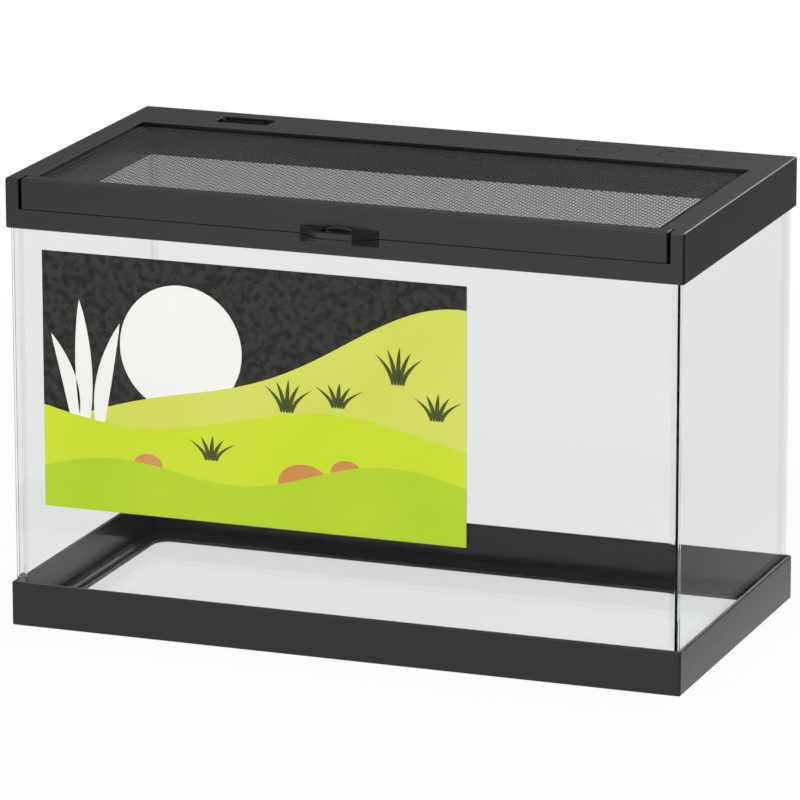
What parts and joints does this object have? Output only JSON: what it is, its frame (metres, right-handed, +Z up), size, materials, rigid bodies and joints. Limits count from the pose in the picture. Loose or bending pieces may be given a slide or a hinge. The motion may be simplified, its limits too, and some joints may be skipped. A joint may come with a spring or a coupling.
{
  "type": "glass terrarium",
  "caption": "Small glass terrarium in black moulded frames, with a mesh top that slides out to the front and closes with a padlock loop.",
  "frame": {"origin": "on the table, in the middle of the whole footprint, the padlock loop included", "axes": "+X to the right seen from the front, +Y to the rear, +Z up; the front faces -Y"},
  "size_m": [0.411, 0.222, 0.268],
  "materials": {
    "frame_black_lower": "satin moulded black",
    "frame_black_upper": "satin moulded black",
    "glass": "clear float glass with ground edges",
    "silicone": "smooth clear sealant",
    "screen_metal": "black powder coat",
    "mesh_wire": "black coated woven wire",
    "spline_rubber": "matt rubber cord",
    "key_plastic": "plain moulded",
    "label_print": "semi-gloss printed film"
  },
  "bodies": {
    "tank": {"bottom_frame": "frame_black_lower", "floor_pane": "glass", "front_pane": "glass", "rear_pane": "glass", "left_pane": "glass", "right_pane": "glass", "corner_bead_front_left": "silicone", "corner_bead_front_right": "silicone", "corner_bead_rear_left": "silicone", "corner_bead_rear_right": "silicone", "floor_bead_front": "silicone", "floor_bead_rear": "silicone", "floor_bead_left": "silicone", "floor_bead_right": "silicone", "top_frame": "frame_black_upper", "front_label": "label_print"},
    "screen": {"screen_front_bar": "frame_black_upper", "screen_rail_front": "screen_metal", "screen_rail_rear": "screen_metal", "screen_rail_left": "screen_metal", "screen_rail_right": "screen_metal", "corner_key_front_left": "key_plastic", "corner_key_front_right": "key_plastic", "corner_key_rear_left": "key_plastic", "corner_key_rear_right": "key_plastic", "spline_front": "spline_rubber", "spline_rear": "spline_rubber", "spline_left": "spline_rubber", "spline_right": "spline_rubber", "screen_mesh": "mesh_wire"},
    "catch": {"screen_catch": "frame_black_upper"}
  },
  "joints": [
    {"name": "screen_slide", "type": "slide", "parent": "tank", "child": "screen", "axis": [0, -1, 0], "range_m": [0, 0.138]},
    {"name": "catch_hinge", "type": "hinge", "parent": "tank", "child": "catch", "pos_m": [0, -0.0924, 0.2547], "axis": [-1, 0, 0], "range_deg": [0, 10], "stiffness_Nm_per_rad": 0.3}
  ]
}
